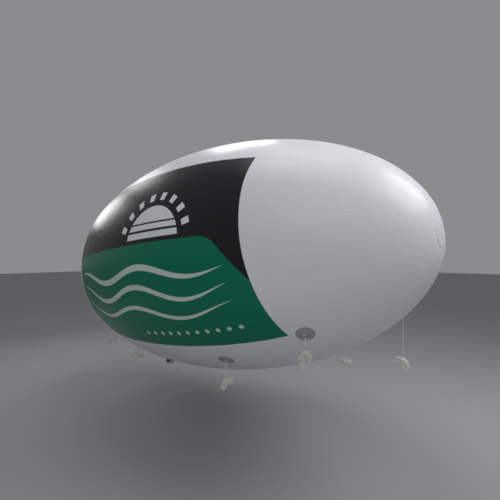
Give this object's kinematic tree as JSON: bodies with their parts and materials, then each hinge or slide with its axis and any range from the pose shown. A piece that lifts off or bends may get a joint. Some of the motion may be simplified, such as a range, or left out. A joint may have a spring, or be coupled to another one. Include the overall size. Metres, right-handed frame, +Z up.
{
  "type": "advertising blimp balloon",
  "caption": "Helium advertising balloon with a long rounded envelope of welded gores, tether patches with swinging rings and tied-up ropes, and a filling sleeve.",
  "frame": {"origin": "centre of the envelope, where the balloon is held up by the air", "axes": "+Z up, +X along the envelope towards its nose, which floats 5 degrees up, -Y towards the near side"},
  "size_m": [4.7924, 2.406, 2.9931],
  "materials": {
    "envelope_vinyl": "glossy white PVC film",
    "cap_vinyl": "glossy white PVC film",
    "patch_vinyl": "grey reinforced PVC film",
    "webbing": "white polyester webbing",
    "ring_steel": "zinc-plated wire",
    "rope_nylon": "white braided nylon",
    "sleeve_vinyl": "pale grey PVC film"
  },
  "bodies": {
    "root": {"envelope_gore_01": "envelope_vinyl", "envelope_gore_02": "envelope_vinyl", "envelope_gore_03": "envelope_vinyl", "envelope_gore_04": "envelope_vinyl", "envelope_gore_05": "envelope_vinyl", "envelope_gore_06": "envelope_vinyl", "envelope_gore_07": "envelope_vinyl", "envelope_gore_08": "envelope_vinyl", "envelope_gore_09": "envelope_vinyl", "envelope_gore_10": "envelope_vinyl", "envelope_gore_11": "envelope_vinyl", "envelope_gore_12": "envelope_vinyl", "filling_sleeve": "sleeve_vinyl", "nose_cap": "cap_vinyl", "sleeve_collar": "patch_vinyl", "sleeve_hem": "sleeve_vinyl", "tail_cap": "cap_vinyl", "tether_patch_aft_far": "patch_vinyl", "tether_patch_aft_near": "patch_vinyl", "tether_patch_fore_far": "patch_vinyl", "tether_patch_fore_near": "patch_vinyl", "tether_patch_nose_far": "patch_vinyl", "tether_patch_nose_near": "patch_vinyl", "tether_patch_tail_far": "patch_vinyl", "tether_patch_tail_near": "patch_vinyl", "tether_tab_aft_far": "webbing", "tether_tab_aft_near": "webbing", "tether_tab_fore_far": "webbing", "tether_tab_fore_near": "webbing", "tether_tab_nose_far": "webbing", "tether_tab_nose_near": "webbing", "tether_tab_tail_far": "webbing", "tether_tab_tail_near": "webbing"},
    "tether_tail_near": {"tether_ring_tail_near": "ring_steel", "tether_rope_tail_near": "rope_nylon", "rope_hank_tail_near": "rope_nylon"},
    "tether_aft_near": {"tether_ring_aft_near": "ring_steel", "tether_rope_aft_near": "rope_nylon", "rope_hank_aft_near": "rope_nylon"},
    "tether_fore_near": {"tether_ring_fore_near": "ring_steel", "tether_rope_fore_near": "rope_nylon", "rope_hank_fore_near": "rope_nylon"},
    "tether_nose_near": {"tether_ring_nose_near": "ring_steel", "tether_rope_nose_near": "rope_nylon", "rope_hank_nose_near": "rope_nylon"},
    "tether_tail_far": {"tether_ring_tail_far": "ring_steel", "tether_rope_tail_far": "rope_nylon", "rope_hank_tail_far": "rope_nylon"},
    "tether_aft_far": {"tether_ring_aft_far": "ring_steel", "tether_rope_aft_far": "rope_nylon", "rope_hank_aft_far": "rope_nylon"},
    "tether_fore_far": {"tether_ring_fore_far": "ring_steel", "tether_rope_fore_far": "rope_nylon", "rope_hank_fore_far": "rope_nylon"},
    "tether_nose_far": {"tether_ring_nose_far": "ring_steel", "tether_rope_nose_far": "rope_nylon", "rope_hank_nose_far": "rope_nylon"}
  },
  "joints": [
    {"name": "swing_tail_near", "type": "hinge", "parent": "root", "child": "tether_tail_near", "pos_m": [-1.48199, -0.51848, -0.90139], "axis": [-0.8591, 0.5118, 0], "range_deg": [-35, 80]},
    {"name": "swing_aft_near", "type": "hinge", "parent": "root", "child": "tether_aft_near", "pos_m": [-0.99133, -0.44276, -1.08353], "axis": [-0.9007, 0.4345, 0], "range_deg": [-35, 80]},
    {"name": "swing_fore_near", "type": "hinge", "parent": "root", "child": "tether_fore_near", "pos_m": [0.80884, -0.6482, -0.89403], "axis": [-0.8992, -0.4376, 0], "range_deg": [-35, 80]},
    {"name": "swing_nose_near", "type": "hinge", "parent": "root", "child": "tether_nose_near", "pos_m": [1.61847, -0.61776, -0.5474], "axis": [-0.8149, -0.5796, 0], "range_deg": [-20, 80]},
    {"name": "swing_tail_far", "type": "hinge", "parent": "root", "child": "tether_tail_far", "pos_m": [-1.41799, 0.53261, -0.91682], "axis": [0.8591, 0.5118, 0], "range_deg": [-35, 80]},
    {"name": "swing_aft_far", "type": "hinge", "parent": "root", "child": "tether_aft_far", "pos_m": [-0.99133, 0.44276, -1.08353], "axis": [0.9007, 0.4345, 0], "range_deg": [-35, 80]},
    {"name": "swing_fore_far", "type": "hinge", "parent": "root", "child": "tether_fore_far", "pos_m": [1.32159, 0.57975, -0.74729], "axis": [0.8365, -0.548, 0], "range_deg": [-35, 80]},
    {"name": "swing_nose_far", "type": "hinge", "parent": "root", "child": "tether_nose_far", "pos_m": [1.92841, 0.50813, -0.39805], "axis": [0.7327, -0.6805, 0], "range_deg": [-35, 80]}
  ]
}
